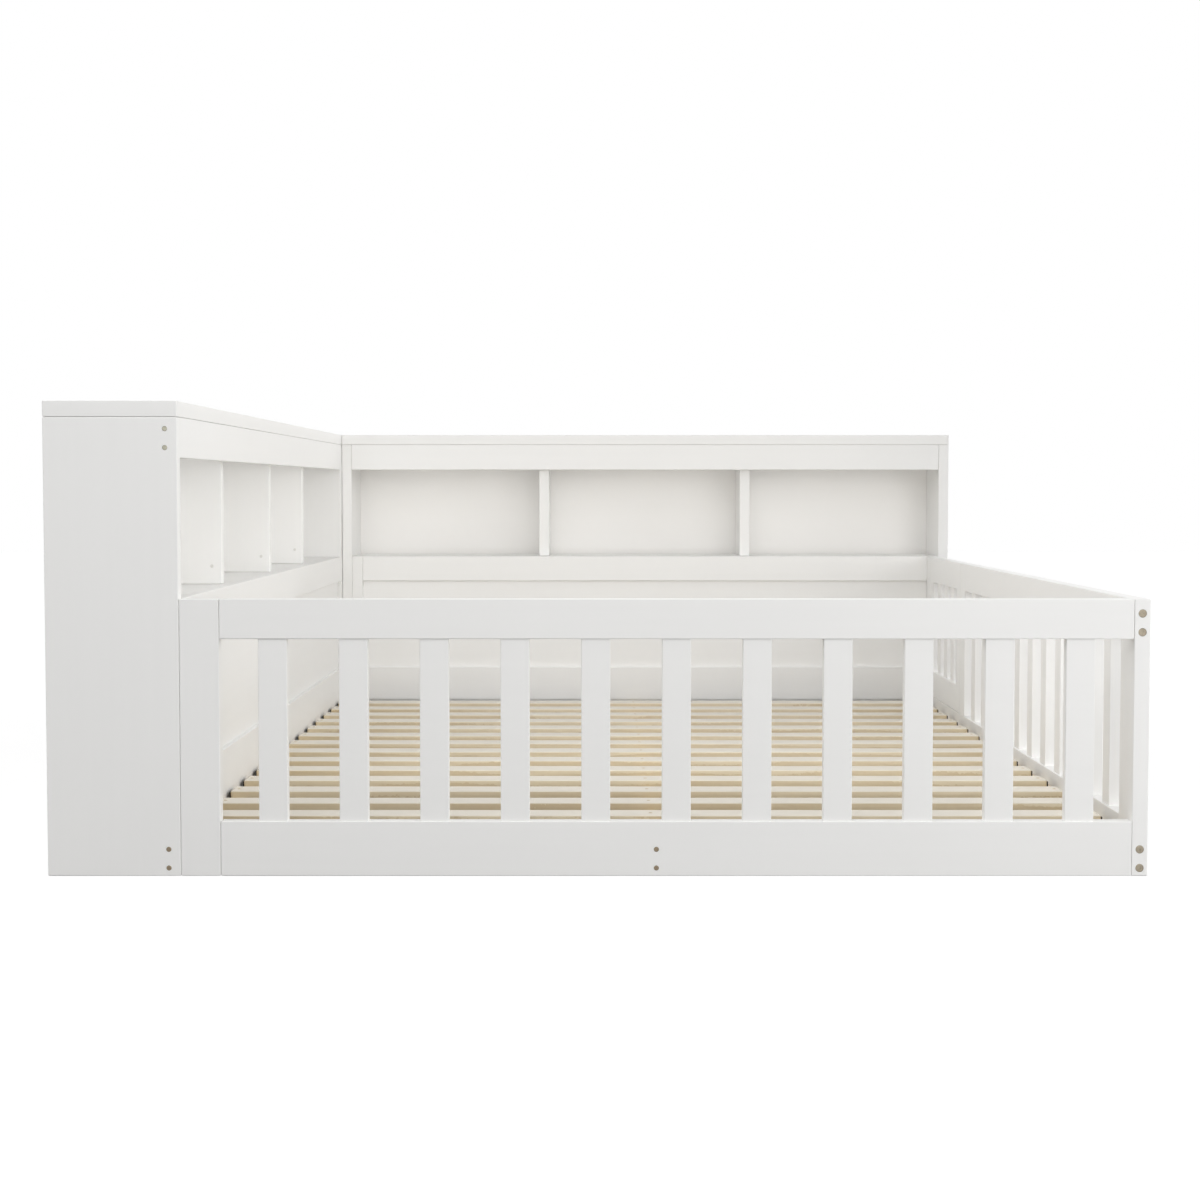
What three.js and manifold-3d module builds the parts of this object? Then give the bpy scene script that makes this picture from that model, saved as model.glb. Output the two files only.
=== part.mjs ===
// Storage daybed: a slatted floor bed in the corner of two low bookcases, closed in on its other
// two sides by a baluster fence with a swing gate. Millimetres, +Z up, +Y from foot to head.
//
// While the pieces are drawn, x = 0 is the bed side of the long bookcase, y = 0 is the front of
// the front fence and z = 0 is the floor. The whole bed is then moved to stand centred on the
// origin.

import * as THREE from 'three';
import { mergeVertices } from 'three/addons/utils/BufferGeometryUtils.js';
import Module from 'manifold-3d';

// Mattress and the room left round it
const MATTRESS_WIDTH = 1372;
const MATTRESS_LENGTH = 1905;
const MATTRESS_SIDE_PLAY = 13;
const MATTRESS_END_PLAY = 46;

// Boards
const BOARD = 23;
const EDGE_RADIUS = 1.2;
const JOINT_GAP = 0.3;

// The shelf rails of the bookcases and the top rails of the fences, which run on in one line
const RAIL_HEIGHT = 58;
const RAIL_TOP = 404;

// Bookcases
const CASE_DEPTH = 194;
const CASE_HEIGHT = 690.5;
const APRON_HEIGHT = 59;
const PLINTH_HEIGHT = 141;
const PLINTH_REBATE_HEIGHT = 65;
const PLINTH_REBATE_DEPTH = 10;
const CLEAT_WIDTH = 25;
const BACK_CASE_OVERHANG = 26;
const SIDE_CASE_BAYS = [467.5, 497, 429];
const BACK_CASE_BAYS = [443, 453.5];

// Thin panels that close the cases
const BACK_PANEL = 5;
const BACK_PANEL_INSET = 2;
const BACK_PANEL_LAP = 10;
const BACK_PANEL_LIFT = 12;
const FACE_PANEL = 9;
const FACE_PANEL_RECESS = 8.5;
const FACE_PANEL_TONGUE = 6;

// Fences
const POST_WIDTH = 58;
const CORNER_POST_WIDTH = 81;
const LOW_RAIL_HEIGHT = 80;
const BALUSTER_WIDTH = 42;
const BALUSTER_THICKNESS = 18;
const BALUSTER_GAP = 75.3;
const BALUSTER_END_GAP = 56;
const BALUSTER_LEAST_GAP = 40;
const BALUSTER_TENON = 14;
const POST_TENON_WIDTH = 34;
const POST_TENON_THICKNESS = 11;
const POST_TENON_LENGTH = 25;

// Gate
const GATE_WIDTH = 409.4;
const GATE_SIDE_GAP = 2.7;
const GATE_FLOOR_GAP = 1;
const GATE_STILE = 45;
const GATE_LOW_RAIL_HEIGHT = 58;
const GATE_BALUSTERS = 3;

// Slatted base
const SLAT_COUNT = 14;
const SLAT_WIDTH = 60;
const SLAT_THICKNESS = 15;
const SLAT_TOP = 70;
const SLAT_EDGE_RADIUS = 1.5;
const SLAT_CORNER_RADIUS = 5;
const SLAT_LEFT_PLAY = 6.4;
const SLAT_RIGHT_PLAY = 16.5;
const SLAT_FRONT_GAP = 96;
const SLAT_HEAD_GAP = 93.3;
const LEDGER_HEIGHT = 30;

// Bolt wells: blind holes that sink the bolt heads into the boards
const SMALL_BOLT_RADIUS = 3.9;
const LARGE_BOLT_RADIUS = 6.2;
const BOLT_WELL_DEPTH = 4;
const BOLT_PAIR_SPACING = 27.3;
const LOW_BOLT_HEIGHT = 25.3;
const RAIL_BOLT_DROP = 34.5;
const APRON_BOLT_DROP = 31;
const CASE_BOLT_SETBACK = 17.6;

// Butt hinges on the outside of the gate, with the pin fixed in the gate's leaf
const HINGE_HEIGHT = 64;
const HINGE_LEAF_WIDTH = 30;
const HINGE_LEAF_THICKNESS = 2;
const HINGE_KNUCKLE_RADIUS = 4.5;
const HINGE_PIN_RADIUS = 2.2;
const HINGE_PIN_CAP_RADIUS = 3.4;
const HINGE_PIN_CAP_HEIGHT = 3;
const HINGE_CLEARANCE = 0.35;
const HINGE_SCREW_RADIUS = 2.2;
const HINGE_SCREW_HEAD_RADIUS = 4;
const HINGE_SCREW_INSET = 12;

// Barrel bolt on the outside of the gate
const LATCH_ROD_RADIUS = 4;
const LATCH_CLEARANCE = 0.4;
const LATCH_PLATE_THICKNESS = 1.6;
const LATCH_PLATE_LENGTH = 64;
const LATCH_PLATE_HEIGHT = 30;
const LATCH_LOOP_WALL = 2;
const LATCH_LOOP_LENGTH = 9;
const LATCH_THROW = 26;
const LATCH_PLATE_MARGIN = 4;
const LATCH_KNOB_RADIUS = 3.2;
const LATCH_KNOB_LENGTH = 14;
const KEEPER_PLATE_LENGTH = 24;
const LATCH_SCREW_RADIUS = 1.8;
const LATCH_SCREW_INSET = 4.5;

// Round parts
const BORE_SIDES = 16;
const KNUCKLE_SIDES = 20;

// Places that several pieces share
const BED_WIDTH = MATTRESS_WIDTH + MATTRESS_SIDE_PLAY;
const BED_LENGTH = MATTRESS_LENGTH + MATTRESS_END_PLAY;
const HEAD_FACE = BOARD + BED_LENGTH;
const BED_END = HEAD_FACE + CASE_DEPTH;
const FENCE_OUTSIDE = BED_WIDTH + BOARD;
const BACK_CASE_WIDTH = FENCE_OUTSIDE + BACK_CASE_OVERHANG;
const TOP_BOARD_UNDERSIDE = CASE_HEIGHT - BOARD;
const APRON_BOTTOM = TOP_BOARD_UNDERSIDE - APRON_HEIGHT;
const RAIL_BOTTOM = RAIL_TOP - RAIL_HEIGHT;
const BACK_PANEL_DEPTH = CASE_DEPTH - BACK_PANEL_INSET - BACK_PANEL;
const REAR_POST_FRONT = HEAD_FACE - POST_WIDTH;
const GATE_END = REAR_POST_FRONT - GATE_SIDE_GAP;
const GATE_START = GATE_END - GATE_WIDTH;
const MIDDLE_POST_END = GATE_START - GATE_SIDE_GAP;
const MIDDLE_POST_FRONT = MIDDLE_POST_END - POST_WIDTH;
const GATE_BOTTOM = LOW_RAIL_HEIGHT + GATE_FLOOR_GAP;
const SLAT_UNDERSIDE = SLAT_TOP - SLAT_THICKNESS;
const CENTRE_BEAM_MIDDLE = BED_WIDTH / 2;

const wasm = await Module();
wasm.setup();

const whitePaint = new THREE.MeshStandardMaterial({ color: 0xf3f1ee, roughness: 0.45, metalness: 0 });
const whitePanel = new THREE.MeshStandardMaterial({ color: 0xefece8, roughness: 0.6, metalness: 0 });
const pine = new THREE.MeshStandardMaterial({ color: 0xe6d2a8, roughness: 0.65, metalness: 0 });
const nickel = new THREE.MeshStandardMaterial({ color: 0xb9b2a6, roughness: 0.35, metalness: 0.9 });

// The closed triangle mesh of a three.js geometry as a solid that can be joined and cut
function solidOf(geometry) {
  geometry.deleteAttribute('normal');
  geometry.deleteAttribute('uv');
  const merged = mergeVertices(geometry, 1e-4);
  return new wasm.Manifold(new wasm.Mesh({
    numProp: 3,
    vertProperties: new Float32Array(merged.attributes.position.array),
    triVerts: new Uint32Array(merged.index.array),
  }));
}

// The named mesh of a solid, with its own origin at the middle of the piece
function pieceOf(name, solid, material) {
  const { min, max } = solid.boundingBox();
  const middle = min.map((low, axis) => (low + max[axis]) / 2);
  const { vertProperties, triVerts } = solid.translate(middle.map((value) => -value)).getMesh();
  const geometry = new THREE.BufferGeometry();
  geometry.setAttribute('position', new THREE.BufferAttribute(new Float32Array(vertProperties), 3));
  geometry.setIndex(new THREE.BufferAttribute(new Uint32Array(triVerts), 1));
  geometry.computeVertexNormals();
  const mesh = new THREE.Mesh(geometry, material);
  mesh.name = name;
  mesh.position.set(...middle);
  return mesh;
}

// A flat shape given by its outline, made as thick as the thinnest of the three spans and with
// the edges round both faces rounded over
function slabOf(spans, outlineOf, edge, edgeSteps) {
  const size = spans.map(([low, high]) => high - low);
  const thin = size.indexOf(Math.min(...size));
  const [across, along] = [(thin + 1) % 3, (thin + 2) % 3];
  const geometry = new THREE.ExtrudeGeometry(outlineOf(size[across], size[along]), {
    depth: size[thin] - 2 * edge,
    bevelEnabled: edge > 0,
    bevelThickness: edge,
    bevelSize: edge,
    bevelOffset: -edge,
    bevelSegments: edgeSteps,
    curveSegments: 3,
  });
  geometry.translate(0, 0, edge - size[thin] / 2);
  const unit = (axis) => new THREE.Vector3().setComponent(axis, 1);
  const turn = new THREE.Matrix4().makeBasis(unit(across), unit(along), unit(thin));
  geometry.applyMatrix4(turn);
  geometry.translate(...spans.map(([low, high]) => (low + high) / 2));
  return solidOf(geometry);
}

// A rectangle whose corners are cut back by the edge radius
function cutRectangle(width, height, cut) {
  const [right, top] = [width / 2, height / 2];
  const outline = new THREE.Shape();
  outline.moveTo(cut - right, -top);
  outline.lineTo(right - cut, -top);
  outline.lineTo(right, cut - top);
  outline.lineTo(right, top - cut);
  outline.lineTo(right - cut, top);
  outline.lineTo(cut - right, top);
  outline.lineTo(-right, top - cut);
  outline.lineTo(-right, cut - top);
  outline.closePath();
  return outline;
}

// A rectangle with its corners rounded
function roundedRectangle(width, height, radius) {
  const [right, top] = [width / 2, height / 2];
  const outline = new THREE.Shape();
  outline.moveTo(radius - right, -top);
  outline.lineTo(right - radius, -top);
  outline.absarc(right - radius, radius - top, radius, -Math.PI / 2, 0);
  outline.lineTo(right, top - radius);
  outline.absarc(right - radius, top - radius, radius, 0, Math.PI / 2);
  outline.lineTo(radius - right, top);
  outline.absarc(radius - right, top - radius, radius, Math.PI / 2, Math.PI);
  outline.lineTo(-right, radius - top);
  outline.absarc(radius - right, radius - top, radius, Math.PI, 1.5 * Math.PI);
  return outline;
}

// A painted board with eased edges
function board(x, y, z) {
  const outline = (width, height) => cutRectangle(width, height, EDGE_RADIUS);
  return slabOf([x, y, z], outline, EDGE_RADIUS, 2);
}

// A sharp-edged block, for thin panels and for cutting grooves
function block(x, y, z) {
  const geometry = new THREE.BoxGeometry(x[1] - x[0], y[1] - y[0], z[1] - z[0]);
  geometry.translate((x[0] + x[1]) / 2, (y[0] + y[1]) / 2, (z[0] + z[1]) / 2);
  return solidOf(geometry);
}

// A span that leaves the joint gap at both of its ends
function between(low, high) {
  return [low + JOINT_GAP, high - JOINT_GAP];
}

// A span given by its middle
function about(middle, width) {
  return [middle - width / 2, middle + width / 2];
}

// A round bar along one axis, which may taper from its start radius to its end radius
function rod(axis, from, length, startRadius, endRadius, sides) {
  const geometry = new THREE.CylinderGeometry(endRadius, startRadius, length, sides);
  geometry.translate(0, length / 2, 0);
  if (axis === 'x') geometry.rotateZ(-Math.PI / 2);
  if (axis === 'z') geometry.rotateX(Math.PI / 2);
  geometry.translate(...from);
  return solidOf(geometry);
}

function joined(solids) {
  return solids.reduce((whole, solid) => whole.add(solid));
}

function cut(solid, tools) {
  return tools.reduce((left, tool) => left.subtract(tool), solid);
}

// Two bolt wells one above the other, sunk from a face into the board along an axis
function boltPair(axis, sign, face, across, height, radius) {
  const places = about(height, BOLT_PAIR_SPACING);
  return places.map((z) => {
    const mouth = face - sign * BOLT_WELL_DEPTH;
    const start = sign > 0 ? mouth : mouth - 2 * BOLT_WELL_DEPTH;
    const from = axis === 'x' ? [start, across, z] : [across, start, z];
    return rod(axis, from, 2 * BOLT_WELL_DEPTH, radius, radius, BORE_SIDES);
  });
}

// Side bookcase: bays open towards the bed, on a closed base, with its back to the left
function sideCase() {
  const parts = new THREE.Group();
  const add = (name, solid, material) => parts.add(pieceOf(`side_case_${name}`, solid, material));
  const panelFront = -BACK_PANEL_DEPTH;
  const partitionFront = HEAD_FACE - BOARD;
  const inside = between(BOARD, partitionFront);
  const behindApron = [panelFront + JOINT_GAP, -BOARD - JOINT_GAP];
  const rebate = (y) => block([-CASE_DEPTH - 1, panelFront], y, [-1, CASE_HEIGHT]);

  const endHeights = [0, TOP_BOARD_UNDERSIDE - JOINT_GAP];
  const apronBolts = TOP_BOARD_UNDERSIDE - APRON_BOLT_DROP;
  const frontEnd = board([-CASE_DEPTH, 0], [0, BOARD], endHeights);
  add('front_end_panel', cut(frontEnd, [
    rebate([BOARD - BACK_PANEL_LAP - JOINT_GAP, BOARD + 1]),
    ...boltPair('y', -1, 0, -CASE_BOLT_SETBACK, apronBolts, SMALL_BOLT_RADIUS),
    ...boltPair('y', -1, 0, -CASE_BOLT_SETBACK, LOW_BOLT_HEIGHT, SMALL_BOLT_RADIUS),
  ]), whitePaint);
  const rearEnd = board([-CASE_DEPTH, 0], [BED_END - BOARD, BED_END], endHeights);
  add('rear_end_panel', cut(rearEnd, [
    rebate([BED_END - BOARD - 1, BED_END - BOARD + BACK_PANEL_LAP + JOINT_GAP]),
    ...boltPair('y', 1, BED_END, -CASE_BOLT_SETBACK, apronBolts, SMALL_BOLT_RADIUS),
    ...boltPair('y', 1, BED_END, -CASE_BOLT_SETBACK, LOW_BOLT_HEIGHT, SMALL_BOLT_RADIUS),
  ]), whitePaint);
  const partition = [partitionFront, HEAD_FACE];
  add('corner_partition', board([panelFront + JOINT_GAP, 0], partition, endHeights), whitePaint);
  add('top_board', board([-CASE_DEPTH, 0], [0, BED_END], [TOP_BOARD_UNDERSIDE, CASE_HEIGHT]), whitePaint);

  const front = [-BOARD, 0];
  add('apron', board(front, inside, [APRON_BOTTOM, TOP_BOARD_UNDERSIDE - JOINT_GAP]), whitePaint);
  add('shelf_board', board(behindApron, inside, [RAIL_TOP - BOARD, RAIL_TOP]), whitePaint);

  const recess = [-FACE_PANEL_RECESS - FACE_PANEL, -FACE_PANEL_RECESS];
  const groove = [recess[0] - JOINT_GAP, recess[1] + JOINT_GAP];
  const panelHeights = between(PLINTH_HEIGHT - FACE_PANEL_TONGUE, RAIL_BOTTOM + FACE_PANEL_TONGUE);
  const panelGroove = block(groove, [0, HEAD_FACE], [
    PLINTH_HEIGHT - FACE_PANEL_TONGUE,
    RAIL_BOTTOM + FACE_PANEL_TONGUE,
  ]);
  const shelfRail = board(front, inside, [RAIL_BOTTOM, RAIL_TOP]);
  add('shelf_rail', shelfRail.subtract(panelGroove), whitePaint);
  add('face_panel', block(recess, inside, panelHeights), whitePaint);
  add('plinth', board(front, inside, [0, PLINTH_HEIGHT]).subtract(panelGroove), whitePaint);
  add('back_panel', block(
    [BACK_PANEL_INSET - CASE_DEPTH, panelFront],
    [BOARD - BACK_PANEL_LAP, BED_END - BOARD + BACK_PANEL_LAP],
    [BACK_PANEL_LIFT, TOP_BOARD_UNDERSIDE - JOINT_GAP],
  ), whitePanel);

  const dividerHeights = between(RAIL_TOP, TOP_BOARD_UNDERSIDE);
  let start = BOARD;
  SIDE_CASE_BAYS.forEach((bay, index) => {
    start += bay;
    add(`divider_${index + 1}`, board(behindApron, [start, start + BOARD], dividerHeights), whitePaint);
    start += BOARD;
  });
  return parts;
}

// Back bookcase across the head of the bed, its bays open towards the foot. Its plinth is rebated
// along the foot of its bed face, which leaves a shadow line behind the last slat.
function backCase() {
  const parts = new THREE.Group();
  const add = (name, solid, material) => parts.add(pieceOf(`back_case_${name}`, solid, material));
  const panelFront = HEAD_FACE + BACK_PANEL_DEPTH;
  const leftInside = BOARD;
  const rightInside = BACK_CASE_WIDTH - BOARD;
  const inside = between(leftInside, rightInside);
  const betweenCleats = between(leftInside + CLEAT_WIDTH, rightInside - CLEAT_WIDTH);
  const depth = [HEAD_FACE, BED_END];
  const front = [HEAD_FACE, HEAD_FACE + BOARD];
  const behindApron = between(HEAD_FACE + BOARD, panelFront);
  const rebate = (x) => block(x, [panelFront, BED_END + 1], [-1, CASE_HEIGHT]);

  const endHeights = [0, TOP_BOARD_UNDERSIDE - JOINT_GAP];
  const leftEnd = board([JOINT_GAP, BOARD], depth, endHeights);
  add('left_end_panel', leftEnd.subtract(
    rebate([leftInside - BACK_PANEL_LAP - JOINT_GAP, leftInside + 1]),
  ), whitePaint);
  const rightEnd = board([rightInside, BACK_CASE_WIDTH], depth, endHeights);
  const boltDepth = HEAD_FACE + CASE_BOLT_SETBACK;
  const apronBolts = TOP_BOARD_UNDERSIDE - APRON_BOLT_DROP;
  add('right_end_panel', cut(rightEnd, [
    rebate([rightInside - 1, rightInside + BACK_PANEL_LAP + JOINT_GAP]),
    ...boltPair('x', 1, BACK_CASE_WIDTH, boltDepth, apronBolts, SMALL_BOLT_RADIUS),
    ...boltPair('x', 1, BACK_CASE_WIDTH, boltDepth, LOW_BOLT_HEIGHT, SMALL_BOLT_RADIUS),
  ]), whitePaint);
  const topWidth = [JOINT_GAP, BACK_CASE_WIDTH];
  add('top_board', board(topWidth, depth, [TOP_BOARD_UNDERSIDE, CASE_HEIGHT]), whitePaint);
  add('apron', board(inside, front, [APRON_BOTTOM, TOP_BOARD_UNDERSIDE - JOINT_GAP]), whitePaint);
  add('shelf_board', board(inside, behindApron, [RAIL_TOP - BOARD, RAIL_TOP]), whitePaint);

  const recess = [HEAD_FACE + FACE_PANEL_RECESS, HEAD_FACE + FACE_PANEL_RECESS + FACE_PANEL];
  const groove = [recess[0] - JOINT_GAP, recess[1] + JOINT_GAP];
  const panelHeights = between(PLINTH_HEIGHT - FACE_PANEL_TONGUE, RAIL_BOTTOM + FACE_PANEL_TONGUE);
  const panelGroove = block([0, BACK_CASE_WIDTH], groove, [
    PLINTH_HEIGHT - FACE_PANEL_TONGUE,
    RAIL_BOTTOM + FACE_PANEL_TONGUE,
  ]);
  const shelfRail = board(betweenCleats, front, [RAIL_BOTTOM, RAIL_TOP]);
  add('shelf_rail', shelfRail.subtract(panelGroove), whitePaint);
  add('face_panel', block(betweenCleats, recess, panelHeights), whitePaint);
  const footRebate = block(
    [0, BACK_CASE_WIDTH],
    [HEAD_FACE - 1, HEAD_FACE + PLINTH_REBATE_DEPTH],
    [-1, PLINTH_REBATE_HEIGHT],
  );
  const plinth = board(betweenCleats, front, [0, PLINTH_HEIGHT]);
  add('plinth', cut(plinth, [panelGroove, footRebate]), whitePaint);
  add('back_panel', block(
    [leftInside - BACK_PANEL_LAP, rightInside + BACK_PANEL_LAP],
    [panelFront, panelFront + BACK_PANEL],
    [BACK_PANEL_LIFT, TOP_BOARD_UNDERSIDE - JOINT_GAP],
  ), whitePanel);

  const dividerHeights = between(RAIL_TOP, TOP_BOARD_UNDERSIDE);
  let start = leftInside;
  BACK_CASE_BAYS.forEach((bay, index) => {
    start += bay;
    add(`divider_${index + 1}`, board([start, start + BOARD], behindApron, dividerHeights), whitePaint);
    start += BOARD;
  });

  const leftCleat = [leftInside + JOINT_GAP, leftInside + CLEAT_WIDTH];
  const rightCleat = [rightInside - CLEAT_WIDTH, rightInside - JOINT_GAP];
  add('left_cleat', board(leftCleat, front, [0, RAIL_TOP]), whitePaint);
  add('right_cleat', board(rightCleat, front, [0, RAIL_TOP]), whitePaint);
  return parts;
}

// Middles of the balusters between two posts, at the common spacing from a first gap
function balusterMiddles(start, end, firstGap) {
  const middles = [];
  const last = end - BALUSTER_LEAST_GAP - BALUSTER_WIDTH / 2;
  let middle = start + firstGap + BALUSTER_WIDTH / 2;
  while (middle <= last) {
    middles.push(middle);
    middle += BALUSTER_WIDTH + BALUSTER_GAP;
  }
  return middles;
}

// Front fence: a post against the side bookcase and two rails, with balusters glued into them
function frontFence() {
  const parts = new THREE.Group();
  const depth = [0, BOARD];
  const railSpan = between(POST_WIDTH, BED_WIDTH);
  const thickness = about(BOARD / 2, BALUSTER_THICKNESS);
  const middles = balusterMiddles(POST_WIDTH, BED_WIDTH, BALUSTER_END_GAP);
  const mortise = (middle) => block(
    about(middle, BALUSTER_WIDTH + 2 * JOINT_GAP),
    about(BOARD / 2, BALUSTER_THICKNESS + 2 * JOINT_GAP),
    [RAIL_BOTTOM - 1, RAIL_BOTTOM + BALUSTER_TENON + JOINT_GAP],
  );
  const baluster = (middle) => board(
    about(middle, BALUSTER_WIDTH),
    thickness,
    [LOW_RAIL_HEIGHT - BALUSTER_TENON, RAIL_BOTTOM + BALUSTER_TENON],
  );

  parts.add(pieceOf('front_left_post', board([JOINT_GAP, POST_WIDTH], depth, [0, RAIL_TOP]), whitePaint));
  const topRail = board(railSpan, depth, [RAIL_BOTTOM, RAIL_TOP]);
  parts.add(pieceOf('front_top_rail', cut(topRail, middles.map(mortise)), whitePaint));
  const lowRail = cut(
    board(railSpan, depth, [0, LOW_RAIL_HEIGHT]),
    boltPair('y', -1, 0, CENTRE_BEAM_MIDDLE, LOW_BOLT_HEIGHT, SMALL_BOLT_RADIUS),
  );
  parts.add(pieceOf('front_low_rail_and_balusters', joined([lowRail, ...middles.map(baluster)]), whitePaint));
  return parts;
}

// Right fence: posts and rails with balusters, and the gateway next to the head of the bed. Its
// front post is wider than the others, because the front fence's rails run into it.
function rightFence() {
  const parts = new THREE.Group();
  const width = [BED_WIDTH, FENCE_OUTSIDE];
  const centre = (BED_WIDTH + FENCE_OUTSIDE) / 2;
  const railBolts = RAIL_TOP - RAIL_BOLT_DROP;
  const middles = balusterMiddles(CORNER_POST_WIDTH, MIDDLE_POST_FRONT, BALUSTER_GAP);
  const mortise = (middle) => block(
    about(centre, BALUSTER_THICKNESS + 2 * JOINT_GAP),
    about(middle, BALUSTER_WIDTH + 2 * JOINT_GAP),
    [RAIL_BOTTOM - 1, RAIL_BOTTOM + BALUSTER_TENON + JOINT_GAP],
  );
  const baluster = (middle) => board(
    about(centre, BALUSTER_THICKNESS),
    about(middle, BALUSTER_WIDTH),
    [LOW_RAIL_HEIGHT - BALUSTER_TENON, RAIL_BOTTOM + BALUSTER_TENON],
  );

  const frontPost = board(width, [0, CORNER_POST_WIDTH], [0, RAIL_TOP]);
  parts.add(pieceOf('right_front_post', cut(frontPost, [
    ...boltPair('y', -1, 0, centre, railBolts, LARGE_BOLT_RADIUS),
    ...boltPair('y', -1, 0, centre, LOW_BOLT_HEIGHT, LARGE_BOLT_RADIUS),
    ...boltPair('x', 1, FENCE_OUTSIDE, BOARD / 2, railBolts, LARGE_BOLT_RADIUS),
    ...boltPair('x', 1, FENCE_OUTSIDE, BOARD / 2, LOW_BOLT_HEIGHT, LARGE_BOLT_RADIUS),
  ]), whitePaint));

  const tenonMiddle = (MIDDLE_POST_FRONT + MIDDLE_POST_END) / 2;
  const middlePost = board(width, [MIDDLE_POST_FRONT, MIDDLE_POST_END], [LOW_RAIL_HEIGHT + JOINT_GAP, RAIL_TOP]);
  const tenon = block(
    about(centre, POST_TENON_THICKNESS),
    about(tenonMiddle, POST_TENON_WIDTH),
    [LOW_RAIL_HEIGHT - POST_TENON_LENGTH, LOW_RAIL_HEIGHT + 2 * EDGE_RADIUS],
  );
  parts.add(pieceOf('right_middle_post', middlePost.add(tenon), whitePaint));
  const rearPost = board(width, [REAR_POST_FRONT, HEAD_FACE - JOINT_GAP], [0, RAIL_TOP]);
  parts.add(pieceOf('right_rear_post', rearPost, whitePaint));

  const topRail = board(width, between(CORNER_POST_WIDTH, MIDDLE_POST_FRONT), [RAIL_BOTTOM, RAIL_TOP]);
  parts.add(pieceOf('right_top_rail', cut(topRail, middles.map(mortise)), whitePaint));
  const tenonMortise = block(
    about(centre, POST_TENON_THICKNESS + 2 * JOINT_GAP),
    about(tenonMiddle, POST_TENON_WIDTH + 2 * JOINT_GAP),
    [LOW_RAIL_HEIGHT - POST_TENON_LENGTH - JOINT_GAP, LOW_RAIL_HEIGHT + 1],
  );
  const lowRail = board(width, between(CORNER_POST_WIDTH, REAR_POST_FRONT), [0, LOW_RAIL_HEIGHT]);
  const panel = joined([lowRail.subtract(tenonMortise), ...middles.map(baluster)]);
  parts.add(pieceOf('right_low_rail_and_balusters', panel, whitePaint));
  return parts;
}

// Height of the gate's hinges: level with the middle of its rails
const HINGE_HEIGHTS = {
  lower: GATE_BOTTOM + GATE_LOW_RAIL_HEIGHT / 2 + HINGE_HEIGHT / 2,
  upper: RAIL_TOP - RAIL_HEIGHT / 2 - HINGE_HEIGHT / 2,
};
const HINGE_AXIS_X = FENCE_OUTSIDE + JOINT_GAP + HINGE_KNUCKLE_RADIUS;
const HINGE_AXIS_Y = (GATE_END + REAR_POST_FRONT) / 2;

// One leaf of a butt hinge; side is +1 for the post's leaf and -1 for the gate's. Its knuckles
// fill the given spans of height, and its plate stays clear of the other leaf's knuckles.
function hingeLeaf(side, middle, knuckleSpans) {
  const low = middle - HINGE_HEIGHT / 2;
  const high = middle + HINGE_HEIGHT / 2;
  const plateFace = [FENCE_OUTSIDE + JOINT_GAP, FENCE_OUTSIDE + JOINT_GAP + HINGE_LEAF_THICKNESS];
  const clearEdge = HINGE_KNUCKLE_RADIUS + HINGE_CLEARANCE;
  const spanY = (near, far) => (side > 0
    ? [HINGE_AXIS_Y + near, HINGE_AXIS_Y + far]
    : [HINGE_AXIS_Y - far, HINGE_AXIS_Y - near]);
  const plate = block(plateFace, spanY(clearEdge, HINGE_LEAF_WIDTH), [low, high]);
  const knuckles = knuckleSpans.map(([from, to]) => {
    const centre = [HINGE_AXIS_X, HINGE_AXIS_Y, from];
    const tube = rod('z', centre, to - from, HINGE_KNUCKLE_RADIUS, HINGE_KNUCKLE_RADIUS, KNUCKLE_SIDES);
    return tube.add(block(plateFace, spanY(0, clearEdge + 1), [from, to]));
  });
  const screwHeights = [low + HINGE_SCREW_INSET, high - HINGE_SCREW_INSET];
  const screwMiddle = side * (clearEdge + HINGE_LEAF_WIDTH) / 2;
  const screwHoles = screwHeights.map((z) => rod(
    'x',
    [plateFace[0] - 1, HINGE_AXIS_Y + screwMiddle, z],
    HINGE_LEAF_THICKNESS + 2,
    HINGE_SCREW_RADIUS - 1,
    HINGE_SCREW_HEAD_RADIUS + 1,
    BORE_SIDES,
  ));
  return cut(joined([plate, ...knuckles]), screwHoles);
}

// A butt hinge of three knuckles: two on the post, one on the gate that carries the fixed pin
function hinge(name, middle) {
  const third = HINGE_HEIGHT / 3;
  const low = middle - HINGE_HEIGHT / 2;
  const high = middle + HINGE_HEIGHT / 2;
  const postSpans = [[low, low + third - HINGE_CLEARANCE], [high - third + HINGE_CLEARANCE, high]];
  const centre = (z) => [HINGE_AXIS_X, HINGE_AXIS_Y, z];
  const boreRadius = HINGE_PIN_RADIUS + HINGE_CLEARANCE;
  const pinBore = rod('z', centre(low - 1), HINGE_HEIGHT + 2, boreRadius, boreRadius, BORE_SIDES);
  const postLeaf = hingeLeaf(1, middle, postSpans).subtract(pinBore);

  const capGap = HINGE_CLEARANCE;
  const pin = rod('z', centre(low - capGap - 1), HINGE_HEIGHT + 2 * capGap + 2, HINGE_PIN_RADIUS, HINGE_PIN_RADIUS, BORE_SIDES);
  const lowerCap = rod(
    'z', centre(low - capGap - HINGE_PIN_CAP_HEIGHT), HINGE_PIN_CAP_HEIGHT,
    HINGE_PIN_RADIUS, HINGE_PIN_CAP_RADIUS, BORE_SIDES,
  );
  const upperCap = rod(
    'z', centre(high + capGap), HINGE_PIN_CAP_HEIGHT,
    HINGE_PIN_CAP_RADIUS, HINGE_PIN_RADIUS, BORE_SIDES,
  );
  const gateSpan = [[low + third, high - third]];
  const gateLeaf = joined([hingeLeaf(-1, middle, gateSpan), pin, lowerCap, upperCap]);
  return [
    pieceOf(`${name}_hinge_post_leaf`, postLeaf, nickel),
    pieceOf(`${name}_hinge_gate_leaf`, gateLeaf, nickel),
  ];
}

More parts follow.
